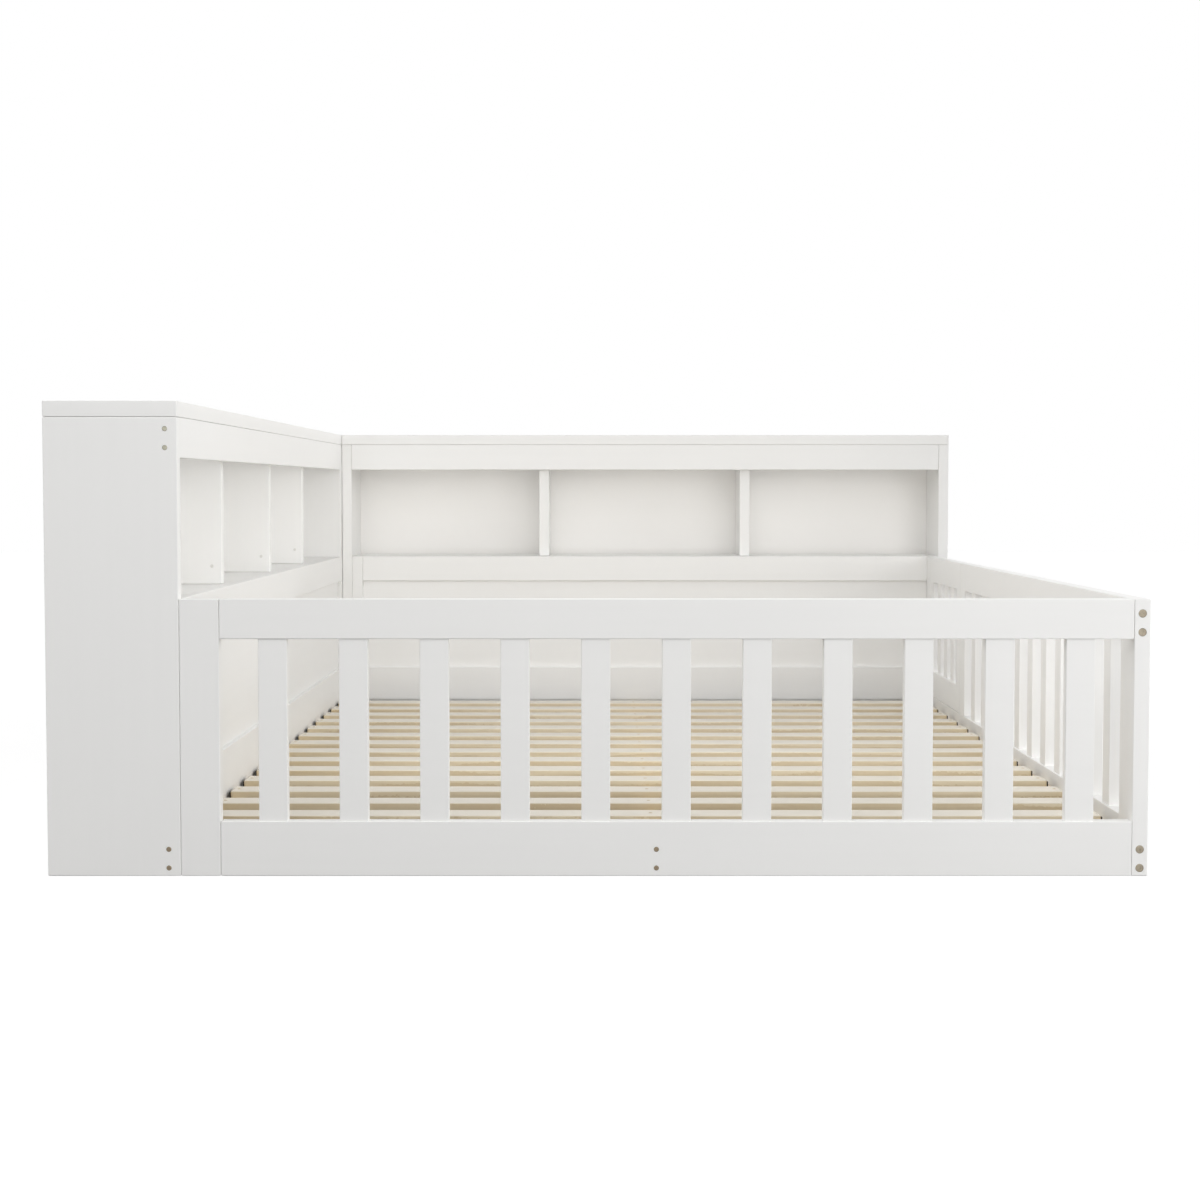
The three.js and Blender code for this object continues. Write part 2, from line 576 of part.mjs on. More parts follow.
// Gate: a frame of stiles and rails with three balusters, hung on the rear post
function gate() {
  const parts = new THREE.Group();
  const width = [BED_WIDTH, FENCE_OUTSIDE];
  const centre = (BED_WIDTH + FENCE_OUTSIDE) / 2;
  const heights = [GATE_BOTTOM, RAIL_TOP];
  const lowRailTop = GATE_BOTTOM + GATE_LOW_RAIL_HEIGHT;
  const frontStile = [GATE_START, GATE_START + GATE_STILE];
  const rearStile = [GATE_END - GATE_STILE, GATE_END];
  const railSpan = [frontStile[1] - 2 * EDGE_RADIUS, rearStile[0] + 2 * EDGE_RADIUS];
  const opening = rearStile[0] - frontStile[1];
  const gap = (opening - GATE_BALUSTERS * BALUSTER_WIDTH) / (GATE_BALUSTERS + 1);
  const balusters = Array.from({ length: GATE_BALUSTERS }, (_, index) => {
    const start = frontStile[1] + gap + index * (BALUSTER_WIDTH + gap);
    return board(
      about(centre, BALUSTER_THICKNESS),
      [start, start + BALUSTER_WIDTH],
      [lowRailTop - BALUSTER_TENON, RAIL_BOTTOM + BALUSTER_TENON],
    );
  });
  const frame = joined([
    board(width, frontStile, heights),
    board(width, rearStile, heights),
    board(width, railSpan, [RAIL_BOTTOM, RAIL_TOP]),
    board(width, railSpan, [GATE_BOTTOM, lowRailTop]),
    ...balusters,
  ]);
  parts.add(pieceOf('gate_frame', frame, whitePaint));
  parts.add(...hinge('lower', HINGE_HEIGHTS.lower));
  parts.add(...hinge('upper', HINGE_HEIGHTS.upper));
  return parts;
}

// Barrel bolt: a guide on the gate's top rail, the rod with its knob, and a keeper on the post.
// The rod is drawn back, so that the gate is free to swing.
function latch() {
  const parts = new THREE.Group();
  const height = RAIL_TOP - RAIL_HEIGHT / 2;
  const plateFace = FENCE_OUTSIDE + JOINT_GAP;
  const plateX = [plateFace, plateFace + LATCH_PLATE_THICKNESS];
  const loopRadius = LATCH_ROD_RADIUS + LATCH_CLEARANCE + LATCH_LOOP_WALL;
  const rodX = plateX[1] + LATCH_CLEARANCE + LATCH_ROD_RADIUS;
  const plateHeights = about(height, LATCH_PLATE_HEIGHT);
  const boreRadius = LATCH_ROD_RADIUS + LATCH_CLEARANCE;

  // A strap bent over the rod: a rounded hump on the plate with a foot on each side
  const loop = (start) => joined([
    rod('y', [rodX, start, height], LATCH_LOOP_LENGTH, loopRadius, loopRadius, KNUCKLE_SIDES),
    block([plateFace, rodX], [start, start + LATCH_LOOP_LENGTH], about(height, 2 * loopRadius)),
  ]);
  const trimmed = (solid, length, start) => cut(solid, [
    block([plateFace - 2 * loopRadius, plateFace], [start - 1, start + length + 1], plateHeights),
    rod('y', [rodX, start - 1, height], length + 2, boreRadius, boreRadius, BORE_SIDES),
  ]);
  const screwHoles = (start, end) => [start + LATCH_SCREW_INSET, end - LATCH_SCREW_INSET].flatMap(
    (y) => [plateHeights[0] + LATCH_SCREW_INSET, plateHeights[1] - LATCH_SCREW_INSET].map((z) => rod(
      'x', [plateFace - 1, y, z], LATCH_PLATE_THICKNESS + 2,
      LATCH_SCREW_RADIUS, LATCH_SCREW_RADIUS, BORE_SIDES / 2,
    )),
  );

  const guideStart = GATE_START + LATCH_PLATE_MARGIN;
  const guideEnd = guideStart + LATCH_PLATE_LENGTH;
  const frontLoop = guideStart;
  const rearLoop = guideEnd - LATCH_LOOP_LENGTH;
  const guidePlate = cut(block(plateX, [guideStart, guideEnd], plateHeights), screwHoles(guideStart, guideEnd));
  const guide = joined([guidePlate, loop(frontLoop), loop(rearLoop)]);
  parts.add(pieceOf('latch_guide', trimmed(guide, LATCH_PLATE_LENGTH, guideStart), nickel));

  const keeperEnd = MIDDLE_POST_END - LATCH_PLATE_MARGIN;
  const keeperStart = keeperEnd - KEEPER_PLATE_LENGTH;
  const keeperLoop = keeperEnd - LATCH_LOOP_LENGTH;
  const keeperPlate = cut(block(plateX, [keeperStart, keeperEnd], plateHeights), screwHoles(keeperStart, keeperEnd));
  const keeper = joined([keeperPlate, loop(keeperLoop)]);
  parts.add(pieceOf('latch_keeper', trimmed(keeper, KEEPER_PLATE_LENGTH, keeperStart), nickel));

  const knobY = rearLoop - LATCH_KNOB_RADIUS - 1;
  const rodEnd = guideEnd + LATCH_THROW;
  const bar = rod('y', [rodX, guideStart, height], rodEnd - guideStart, LATCH_ROD_RADIUS, LATCH_ROD_RADIUS, KNUCKLE_SIDES);
  const knob = rod('x', [rodX, knobY, height], LATCH_KNOB_LENGTH, LATCH_KNOB_RADIUS - 1, LATCH_KNOB_RADIUS, BORE_SIDES);
  parts.add(pieceOf('latch_bolt', bar.add(knob), nickel));
  return parts;
}

// Bed base: pine slats screwed to a ledger along each side and a beam down the middle. The beam
// ends in the rebate of the back bookcase's plinth.
function slattedBase() {
  const parts = new THREE.Group();
  const run = between(BOARD, HEAD_FACE);
  const ledgerHeights = [SLAT_UNDERSIDE - LEDGER_HEIGHT, SLAT_UNDERSIDE - JOINT_GAP];
  parts.add(pieceOf('left_ledger', board([JOINT_GAP, BOARD], run, ledgerHeights), pine));
  const rightLedger = board([BED_WIDTH - BOARD, BED_WIDTH - JOINT_GAP], run, ledgerHeights);
  parts.add(pieceOf('right_ledger', rightLedger, pine));
  const beamHeights = [0, SLAT_UNDERSIDE - JOINT_GAP];
  const beamRun = between(BOARD, HEAD_FACE + PLINTH_REBATE_DEPTH);
  parts.add(pieceOf('centre_beam', board(about(CENTRE_BEAM_MIDDLE, BOARD), beamRun, beamHeights), pine));

  const slatSpan = [SLAT_LEFT_PLAY, BED_WIDTH - SLAT_RIGHT_PLAY];
  const pitch = (BED_LENGTH - SLAT_FRONT_GAP - SLAT_HEAD_GAP - SLAT_WIDTH) / (SLAT_COUNT - 1);
  const outline = (width, height) => roundedRectangle(width, height, SLAT_CORNER_RADIUS);
  for (let index = 0; index < SLAT_COUNT; index += 1) {
    const start = BOARD + SLAT_FRONT_GAP + index * pitch;
    const spans = [slatSpan, [start, start + SLAT_WIDTH], [SLAT_UNDERSIDE, SLAT_TOP]];
    const name = `slat_${String(index + 1).padStart(2, '0')}`;
    parts.add(pieceOf(name, slabOf(spans, outline, SLAT_EDGE_RADIUS, 1), pine));
  }
  return parts;
}

const daybed = new THREE.Group();
daybed.add(sideCase(), backCase(), frontFence(), rightFence(), gate(), latch(), slattedBase());
daybed.position.set((CASE_DEPTH - BACK_CASE_WIDTH) / 2, -BED_END / 2, 0);
daybed.updateMatrixWorld(true);

export default daybed;
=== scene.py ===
# Storage daybed: a slatted floor bed in the corner of two low white bookcases, closed in on its
# other two sides by a baluster fence with a swing gate. Metres, +Z up, +Y from foot to head.

import math

import bpy
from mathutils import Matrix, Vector


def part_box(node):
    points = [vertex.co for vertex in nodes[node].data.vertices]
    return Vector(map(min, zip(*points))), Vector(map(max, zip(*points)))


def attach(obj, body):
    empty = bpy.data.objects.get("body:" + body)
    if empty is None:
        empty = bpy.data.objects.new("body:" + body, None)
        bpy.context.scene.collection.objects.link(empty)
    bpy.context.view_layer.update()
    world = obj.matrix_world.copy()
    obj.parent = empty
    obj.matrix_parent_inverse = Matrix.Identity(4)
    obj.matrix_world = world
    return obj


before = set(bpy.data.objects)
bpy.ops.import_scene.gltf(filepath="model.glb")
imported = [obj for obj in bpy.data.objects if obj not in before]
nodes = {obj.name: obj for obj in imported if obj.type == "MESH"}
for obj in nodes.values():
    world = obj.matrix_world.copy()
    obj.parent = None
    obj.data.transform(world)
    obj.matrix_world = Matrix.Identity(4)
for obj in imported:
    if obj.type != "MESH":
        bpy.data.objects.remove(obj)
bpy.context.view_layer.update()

# Camera, square to the foot of the bed, above the fence and below the tops of the bookcases. The
# focal length is in pixels of a picture 1201 pixels high, and 90 degrees of tilt look level.
PICTURE_HEIGHT = 1201
FOCAL_LENGTH = 2140
CAMERA_PLACE = (-0.0096, -4.1777, 0.5632)
CAMERA_TILT = 87.0175
camera = bpy.data.objects.new("camera", bpy.data.cameras.new("camera"))
camera.data.lens = camera.data.sensor_width * FOCAL_LENGTH / PICTURE_HEIGHT
camera.location = CAMERA_PLACE
camera.rotation_euler = (math.radians(CAMERA_TILT), 0, 0)
bpy.context.collection.objects.link(camera)
bpy.context.scene.camera = camera

# Side bookcase: solid boards, glued and bolted, sprayed with a satin white lacquer that lets a
# little of the wood's grain through. It stands along the bed with its bays open towards it.
WHITE = (0.93, 0.925, 0.91)
GRAIN_RELIEF = 0.6
PEBBLE_RELIEF = 0.25
LACQUER_BUMP = 0.35
LACQUER_BUMP_DEPTH = 0.0003
LACQUER_SPECULAR = 0.4
EASED_ANGLE = 50
WELD_DISTANCE = 0.00001
ALONG = {"x": (0, 0, 0), "y": (0, 0, -math.pi / 2), "z": (0, math.pi / 2, 0)}


def new_group(name, inputs, outputs):
    """A shader node group with named inputs and outputs, and its two end nodes."""
    group = bpy.data.node_groups.new(name, "ShaderNodeTree")
    for label, kind in inputs.items():
        group.interface.new_socket(label, in_out="INPUT", socket_type="NodeSocket" + kind)
    for label, kind in outputs.items():
        group.interface.new_socket(label, in_out="OUTPUT", socket_type="NodeSocket" + kind)
    return group, group.nodes.new("NodeGroupInput").outputs, group.nodes.new("NodeGroupOutput").inputs


def add_node(tree, kind, sockets=None, **settings):
    """A shader node with its settings, and with each named socket given a value or a link."""
    made = tree.nodes.new("ShaderNode" + kind)
    for setting, value in settings.items():
        setattr(made, setting, value)
    for name, value in (sockets or {}).items():
        if isinstance(value, bpy.types.NodeSocket):
            tree.links.new(value, made.inputs[name])
        else:
            made.inputs[name].default_value = value
    return made


def add_math(tree, operation, *values, **settings):
    """What a Math node makes of its values, each a number or a link."""
    return add_node(tree, "Math", dict(enumerate(values)), operation=operation, **settings).outputs[0]


def lacquer_group():
    """Sprayed lacquer: cloudy tone, raised grain along X and the fine pebbling of the spray."""
    group, given, made = new_group(
        "sprayed lacquer",
        {"Place": "Vector", "Colour": "Color", "Cloud": "Float", "Grain": "Float", "Roughness": "Float"},
        {"Colour": "Color", "Roughness": "Float", "Height": "Float"},
    )
    clouds = add_node(group, "TexNoise", {"Vector": given["Place"], "Scale": 2.6, "Detail": 4.0})
    cloud = clouds.outputs["Fac"]
    stretched = add_node(group, "Mapping", {"Vector": given["Place"], "Scale": (2.5, 70.0, 70.0)})
    fibres = add_node(group, "TexNoise", {"Vector": stretched.outputs[0], "Scale": 1.0, "Detail": 5.0})
    grain = fibres.outputs["Fac"]
    pebbles = add_node(group, "TexNoise", {"Vector": given["Place"], "Scale": 650.0, "Detail": 1.0})

    cloud_share = add_math(group, "MULTIPLY", cloud, given["Cloud"])
    grain_share = add_math(group, "MULTIPLY", grain, given["Grain"])
    kept = add_math(group, "SUBTRACT", 1.0, add_math(group, "ADD", cloud_share, grain_share))
    tone = add_node(group, "VectorMath", {0: given["Colour"], "Scale": kept}, operation="SCALE")
    group.links.new(tone.outputs[0], made["Colour"])

    sheen = add_node(group, "MapRange", {"Value": cloud, "To Min": -0.05, "To Max": 0.05})
    rough = add_math(group, "ADD", given["Roughness"], sheen.outputs[0])
    group.links.new(rough, made["Roughness"])

    grain_height = add_math(group, "MULTIPLY", grain, GRAIN_RELIEF)
    height = add_math(group, "MULTIPLY_ADD", pebbles.outputs["Fac"], PEBBLE_RELIEF, grain_height)
    group.links.new(height, made["Height"])
    return group


def new_material(name):
    """A material, its node tree, and the place on the piece that its patterns follow."""
    material = bpy.data.materials.new(name)
    material.use_nodes = True
    tree = material.node_tree
    return material, tree, add_node(tree, "TexCoord").outputs["Object"]


def linked_shader(tree, effect, bump_strength, bump_distance):
    """The tree's shader, fed with the colour, roughness and height that an effect puts out."""
    shader = tree.nodes["Principled BSDF"]
    bump = add_node(tree, "Bump", {
        "Height": effect.outputs["Height"], "Strength": bump_strength, "Distance": bump_distance,
    })
    tree.links.new(effect.outputs["Colour"], shader.inputs["Base Color"])
    tree.links.new(effect.outputs["Roughness"], shader.inputs["Roughness"])
    tree.links.new(bump.outputs[0], shader.inputs["Normal"])
    return shader


LACQUER = lacquer_group()


def lacquered(name, along, colour=WHITE, cloud=0.03, grain=0.02, roughness=0.42):
    """A lacquered board's material, its grain running along one axis of the bed."""
    material, tree, place = new_material(name)
    turned = add_node(tree, "Mapping", {"Vector": place, "Rotation": ALONG[along]})
    lacquer = add_node(tree, "Group", node_tree=LACQUER)
    tree.links.new(turned.outputs[0], lacquer.inputs["Place"])
    lacquer.inputs["Colour"].default_value = (*colour, 1)
    lacquer.inputs["Cloud"].default_value = cloud
    lacquer.inputs["Grain"].default_value = grain
    lacquer.inputs["Roughness"].default_value = roughness
    shader = linked_shader(tree, lacquer, LACQUER_BUMP, LACQUER_BUMP_DEPTH)
    shader.inputs["Specular IOR Level"].default_value = LACQUER_SPECULAR
    return material


white_x = lacquered("white lacquer across the bed", "x")
white_y = lacquered("white lacquer along the bed", "y")
white_z = lacquered("white lacquer upright", "z")


def eased_edges():
    """Geometry nodes that join a board's triangles and shade its eased edges as round."""
    tree = bpy.data.node_groups.new("eased edges", "GeometryNodeTree")
    tree.interface.new_socket("Geometry", in_out="INPUT", socket_type="NodeSocketGeometry")
    tree.interface.new_socket("Geometry", in_out="OUTPUT", socket_type="NodeSocketGeometry")
    start = tree.nodes.new("NodeGroupInput")
    end = tree.nodes.new("NodeGroupOutput")
    merge = tree.nodes.new("GeometryNodeMergeByDistance")
    merge.inputs["Distance"].default_value = WELD_DISTANCE
    faces = tree.nodes.new("GeometryNodeSetShadeSmooth")
    edges = tree.nodes.new("GeometryNodeSetShadeSmooth")
    edges.domain = "EDGE"
    angle = tree.nodes.new("GeometryNodeInputMeshEdgeAngle")
    shallow = tree.nodes.new("FunctionNodeCompare")
    shallow.operation = "LESS_THAN"
    shallow.inputs[1].default_value = math.radians(EASED_ANGLE)
    tree.links.new(start.outputs[0], merge.inputs["Geometry"])
    tree.links.new(merge.outputs[0], faces.inputs["Geometry"])
    tree.links.new(faces.outputs[0], edges.inputs["Geometry"])
    tree.links.new(angle.outputs["Unsigned Angle"], shallow.inputs[0])
    tree.links.new(shallow.outputs[0], edges.inputs["Shade Smooth"])
    tree.links.new(edges.outputs[0], end.inputs[0])
    return tree


EASED_EDGES = eased_edges()


def dress(name, material):
    """Gives a board of the frame its finish, and shades its eased edges as round."""
    board = nodes[name]
    for slot in board.material_slots:
        slot.material = material
    eased = board.modifiers.new("eased edges", "NODES")
    eased.node_group = EASED_EDGES
    normals = board.modifiers.new("even faces", "WEIGHTED_NORMAL")
    normals.keep_sharp = True


for name in ("front_end_panel", "rear_end_panel", "corner_partition", "divider_1", "divider_2", "divider_3"):
    dress("side_case_" + name, white_z)
for name in ("top_board", "apron", "shelf_board", "shelf_rail", "face_panel", "plinth"):
    dress("side_case_" + name, white_y)

# Back panels of both bookcases: thin fibreboard, painted white and a little warmer and duller
# than the boards, held in the rebates of the end panels. Their white is also paler than the
# boards', painted light that lifts the shade deep in the bays.
LIFTED_PANEL_WHITE = (0.95, 0.935, 0.91)
lifted_panel_white = lacquered("white back panel, lifted by painted light", "x", LIFTED_PANEL_WHITE, cloud=0.06, grain=0.01, roughness=0.55)
dress("side_case_back_panel", lifted_panel_white)
dress("back_case_back_panel", lifted_panel_white)

# Back bookcase, across the head of the bed, of the same boards as the side one. Two upright cleats
# fill the corners between its end panels and its shelf rail.
for name in ("left_end_panel", "right_end_panel", "divider_1", "divider_2", "left_cleat", "right_cleat"):
    dress("back_case_" + name, white_z)
for name in ("top_board", "apron", "shelf_board", "shelf_rail", "face_panel", "plinth"):
    dress("back_case_" + name, white_x)

# Bolts of the bookcases: turned steel heads with a hexagon socket, sunk in pairs into wells in the
# end panels. They share one bronze-toned plating. The low ones are given a darker bronze as painted
# shade, and the top ones a paler nickel as a painted reflection of the bright room. The rim and
# the chamfer of a head are shares of its radius.
SMALL_BOLT_RADIUS = 0.0037
SMALL_SOCKET_RADIUS = 0.0017
BOLT_HEAD_DEPTH = 0.0034
BOLT_SINK = 0.0004
BOLT_SIDES = 32
BOLT_CHAMFER = 0.13
BOLT_CHAMFER_RISE = 0.05
BOLT_RIM = 0.1
SOCKET_CUT_TOP = 0.001
SOCKET_CUT_DEPTH = 0.0024
BOLT_HALF_SPACING = 0.01365
LOW_BOLT_HEIGHT = 0.0253
APRON_BOLT_DROP = 0.0307
CASE_BOLT_SETBACK = 0.0176
SMOOTH_ANGLE = 35
FACING = {"-y": (math.pi / 2, 0, 0), "+y": (-math.pi / 2, 0, 0), "+x": (0, math.pi / 2, 0)}
# Darker bronze of the low bolts is painted shade; paler nickel of the top bolts is painted reflection.
SHADED_BRONZE = (0.25, 0.2, 0.14)
LIT_PALE_NICKEL = (0.37, 0.36, 0.29)
STAINED = 0.72


def plated(name, colour):
    """Plated steel: fine turning marks, small stains and a dulled tone between them."""
    material, tree, place = new_material(name)
    stain = add_node(tree, "TexNoise", {"Vector": place, "Scale": 260.0, "Detail": 6.0, "Roughness": 0.6})
    marks = add_node(tree, "TexNoise", {"Vector": place, "Scale": 2400.0, "Detail": 2.0})
    tone = add_node(tree, "ValToRGB", {"Fac": stain.outputs["Fac"]})
    ramp = tone.color_ramp.elements
    ramp[0].position = 0.3
    ramp[0].color = (*(STAINED * part for part in colour), 1)
    ramp[1].position = 0.7
    ramp[1].color = (*colour, 1)
    rough = add_node(tree, "MapRange", {"Value": stain.outputs["Fac"], "To Min": 0.42, "To Max": 0.28})
    bump = add_node(tree, "Bump", {"Height": marks.outputs["Fac"], "Strength": 0.2, "Distance": 0.00003})
    shader = tree.nodes["Principled BSDF"]
    shader.inputs["Metallic"].default_value = 1
    tree.links.new(tone.outputs["Color"], shader.inputs["Base Color"])
    tree.links.new(rough.outputs[0], shader.inputs["Roughness"])
    tree.links.new(bump.outputs[0], shader.inputs["Normal"])
    return material


shaded_bronze = plated("bronzed steel with painted shade", SHADED_BRONZE)


def select_only(*pieces):
    """Selects some pieces and nothing else, with the first of them active."""
    bpy.ops.object.select_all(action="DESELECT")
    for piece in pieces:
        piece.select_set(True)
    bpy.context.view_layer.objects.active = pieces[0]


def start_cylinder(name, sides, radius, top, depth):
    """A cylinder on the Z axis, alone selected and active, with its top at a height."""
    bpy.ops.object.select_all(action="DESELECT")
    bpy.ops.mesh.primitive_cylinder_add(
        vertices=sides, radius=radius, depth=depth, location=(0, 0, top - depth / 2),
    )
    made = bpy.context.object
    made.name = name
    bpy.ops.object.transform_apply(location=True, rotation=True, scale=True)
    return made


def edit_faces(piece, wanted):
    """Opens a piece for editing with only the wanted faces selected."""
    bpy.context.view_layer.objects.active = piece
    bpy.ops.object.mode_set(mode="EDIT")
    bpy.ops.mesh.select_mode(type="FACE")
    bpy.ops.mesh.select_all(action="DESELECT")
    bpy.ops.object.mode_set(mode="OBJECT")
    for face in piece.data.polygons:
        face.select = wanted(face)
    bpy.ops.object.mode_set(mode="EDIT")


def is_top(face):
    return face.normal.z > 0.99


def is_bottom(face):
    return face.normal.z < -0.99


def finish_editing(piece):
    """Closes a piece after editing and shades its shallow edges smooth."""
    bpy.ops.object.mode_set(mode="OBJECT")
    select_only(piece)
    bpy.ops.object.shade_smooth_by_angle(angle=math.radians(SMOOTH_ANGLE))


def carve(piece, cutter):
    """Cuts one shape out of another, and takes the cutter away."""
    select_only(piece)
    hollow = piece.modifiers.new("hollow", "BOOLEAN")
    hollow.operation = "DIFFERENCE"
    hollow.object = cutter
    bpy.ops.object.modifier_apply(modifier=hollow.name)
    bpy.data.objects.remove(cutter)


def bolt_head(name, radius, socket_radius, finish):
    """A bolt head looking up from the origin, with a chamfered rim and a hexagon socket."""
    head = start_cylinder(name, BOLT_SIDES, radius, -BOLT_SINK, BOLT_HEAD_DEPTH)
    edit_faces(head, is_top)
    bpy.ops.mesh.inset(thickness=BOLT_CHAMFER * radius, depth=0)
    bpy.ops.transform.translate(value=(0, 0, BOLT_CHAMFER_RISE * radius))
    bpy.ops.mesh.inset(thickness=BOLT_RIM * radius, depth=0)
    bpy.ops.object.mode_set(mode="OBJECT")
    carve(head, start_cylinder("socket", 6, socket_radius, SOCKET_CUT_TOP, SOCKET_CUT_DEPTH))
    finish_editing(head)
    head.data.materials.append(finish)
    return head


def copy_of(master, name, place):
    """A copy of a small part, with a mesh of its own, at a place."""
    made = bpy.data.objects.new(name, master.data.copy())
    bpy.context.collection.objects.link(made)
    made.location = place
    return made


def placed(master, name, place, facing, body):
    """A copy of a small part, turned to face one way, as a piece on a body."""
    made = copy_of(master, name, place)
    made.rotation_euler = FACING[facing]
    select_only(made)
    bpy.ops.object.transform_apply(location=True, rotation=True, scale=True)
    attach(made, body)


# Low bolt heads carry the painted shade, top bolt heads the painted reflection.
small_bolt = bolt_head("small bolt", SMALL_BOLT_RADIUS, SMALL_SOCKET_RADIUS, shaded_bronze)
lit_pale_nickel = plated("pale nickel with painted reflection", LIT_PALE_NICKEL)
lit_bolt = bolt_head("lit bolt", SMALL_BOLT_RADIUS, SMALL_SOCKET_RADIUS, lit_pale_nickel)


def bolt_pair(master, name, x, y, middle, facing):
    """Two bolt heads, one above the other, about a height."""
    for count, rise in enumerate((-BOLT_HALF_SPACING, BOLT_HALF_SPACING), start=1):
        placed(master, f"{name}_{count}", (x, y, middle + rise), facing, "frame")


low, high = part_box("side_case_front_end_panel")
top_bolt_height = high.z - APRON_BOLT_DROP
bolt_pair(small_bolt, "front_end_low_bolt", high.x - CASE_BOLT_SETBACK, low.y, LOW_BOLT_HEIGHT, "-y")
bolt_pair(lit_bolt, "front_end_top_bolt", high.x - CASE_BOLT_SETBACK, low.y, top_bolt_height, "-y")
low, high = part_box("side_case_rear_end_panel")
top_bolt_height = high.z - APRON_BOLT_DROP
bolt_pair(small_bolt, "rear_end_low_bolt", high.x - CASE_BOLT_SETBACK, high.y, LOW_BOLT_HEIGHT, "+y")
bolt_pair(lit_bolt, "rear_end_top_bolt", high.x - CASE_BOLT_SETBACK, high.y, top_bolt_height, "+y")
low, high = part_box("back_case_right_end_panel")
top_bolt_height = high.z - APRON_BOLT_DROP
bolt_pair(small_bolt, "right_end_low_bolt", high.x, low.y + CASE_BOLT_SETBACK, LOW_BOLT_HEIGHT, "+x")
bolt_pair(lit_bolt, "right_end_top_bolt", high.x, low.y + CASE_BOLT_SETBACK, top_bolt_height, "+x")
bpy.data.objects.remove(lit_bolt)

# Divider screws: one small round-headed screw low on the foot side of each divider, near its front
# edge, painted a pale grey. The recess and the rounding of a head are shares of its size.
SCREW_GREY = (0.78, 0.77, 0.74)
STUD_RADIUS = 0.003
STUD_HEAD_HEIGHT = 0.0012
STUD_SETBACK = 0.0163
STUD_HEIGHT = 0.0302
HEAD_SIDES = 24
HEAD_ROUNDS = 3
HEAD_ROUNDING = 0.8
HEAD_ROOT = 0.0004
RECESS_WIDTH = 0.3
RECESS_REACH = 1.2
RECESS_FLOOR = 0.35
RECESS_CUT_HEIGHT = 0.003


def cross_recess(width, reach, bottom):
    """A cross for cutting the recess of a screw head, from a depth up past the head's top."""
    arms = []
    for size in ((reach, width, RECESS_CUT_HEIGHT), (width, reach, RECESS_CUT_HEIGHT)):
        bpy.ops.object.select_all(action="DESELECT")
        middle = (0, 0, bottom + RECESS_CUT_HEIGHT / 2)
        bpy.ops.mesh.primitive_cube_add(size=1, location=middle, scale=size)
        bpy.ops.object.transform_apply(location=True, rotation=True, scale=True)
        arms.append(bpy.context.object)
    both = arms[0].modifiers.new("both arms", "BOOLEAN")
    both.operation = "UNION"
    both.object = arms[1]
    select_only(arms[0])
    bpy.ops.object.modifier_apply(modifier=both.name)
    bpy.data.objects.remove(arms[1])
    return arms[0]


def pan_head(name, radius, height, finish, sides=HEAD_SIDES, rounds=HEAD_ROUNDS):
    """A screw head standing on the face that it holds, with a rounded rim and a cross recess."""
    head = start_cylinder(name, sides, radius, height, height + HEAD_ROOT)
    edit_faces(head, is_top)
    bpy.ops.mesh.bevel(offset=HEAD_ROUNDING * height, segments=rounds, affect="EDGES")
    bpy.ops.object.mode_set(mode="OBJECT")
    carve(head, cross_recess(RECESS_WIDTH * radius, RECESS_REACH * radius, RECESS_FLOOR * height))
    finish_editing(head)
    head.data.materials.append(finish)
    return head


screw_grey = lacquered("grey screw paint", "z", SCREW_GREY, cloud=0.05, grain=0.0, roughness=0.4)
stud = pan_head("stud", STUD_RADIUS, STUD_HEAD_HEIGHT, screw_grey)
for count in (1, 2, 3):
    low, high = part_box(f"side_case_divider_{count}")
    place = (high.x - STUD_SETBACK, low.y, low.z + STUD_HEIGHT)
    placed(stud, f"divider_stud_{count}", place, "-y", "frame")
bpy.data.objects.remove(stud)

# Front fence: a post against the side bookcase, a top rail and a low rail, with eleven flat
# balusters tenoned into the rails. Two bolts through the low rail hold the bed's centre beam.
dress("front_left_post", white_z)
dress("front_top_rail", white_x)
dress("front_low_rail_and_balusters", white_x)
low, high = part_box("front_low_rail_and_balusters")
beam_low, beam_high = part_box("centre_beam")
# These low heads carry the darker bronze as painted shade.
bolt_pair(small_bolt, "centre_beam_bolt", (beam_low.x + beam_high.x) / 2, low.y, LOW_BOLT_HEIGHT, "-y")

# Right fence: three posts, a top rail up to the gateway and a low rail along the whole side, with
# eleven balusters. Larger bolts, plated in a warm antique nickel, draw the front fence and this one
# together at the front post.
NICKEL = (0.33, 0.29, 0.225)
LARGE_BOLT_RADIUS = 0.006
LARGE_SOCKET_RADIUS = 0.0023
RAIL_BOLT_DROP = 0.0345
nickel = plated("antique nickel", NICKEL)
large_bolt = bolt_head("large bolt", LARGE_BOLT_RADIUS, LARGE_SOCKET_RADIUS, nickel)
for name in ("right_front_post", "right_middle_post", "right_rear_post"):
    dress(name, white_z)
for name in ("right_top_rail", "right_low_rail_and_balusters"):
    dress(name, white_y)
low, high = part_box("right_front_post")
front_fence_middle = low.y + (high.x - low.x) / 2
bolt_pair(large_bolt, "front_post_low_bolt", (low.x + high.x) / 2, low.y, LOW_BOLT_HEIGHT, "-y")
bolt_pair(large_bolt, "front_post_top_bolt", (low.x + high.x) / 2, low.y, high.z - RAIL_BOLT_DROP, "-y")
bolt_pair(large_bolt, "side_post_low_bolt", high.x, front_fence_middle, LOW_BOLT_HEIGHT, "+x")
bolt_pair(large_bolt, "side_post_top_bolt", high.x, front_fence_middle, high.z - RAIL_BOLT_DROP, "+x")
bpy.data.objects.remove(small_bolt)
bpy.data.objects.remove(large_bolt)

# Gate: two stiles, two rails and three balusters of the same lacquered wood, glued up as one leaf.
# It hangs between the middle and rear posts of the right fence.
dress("gate_frame", white_y)

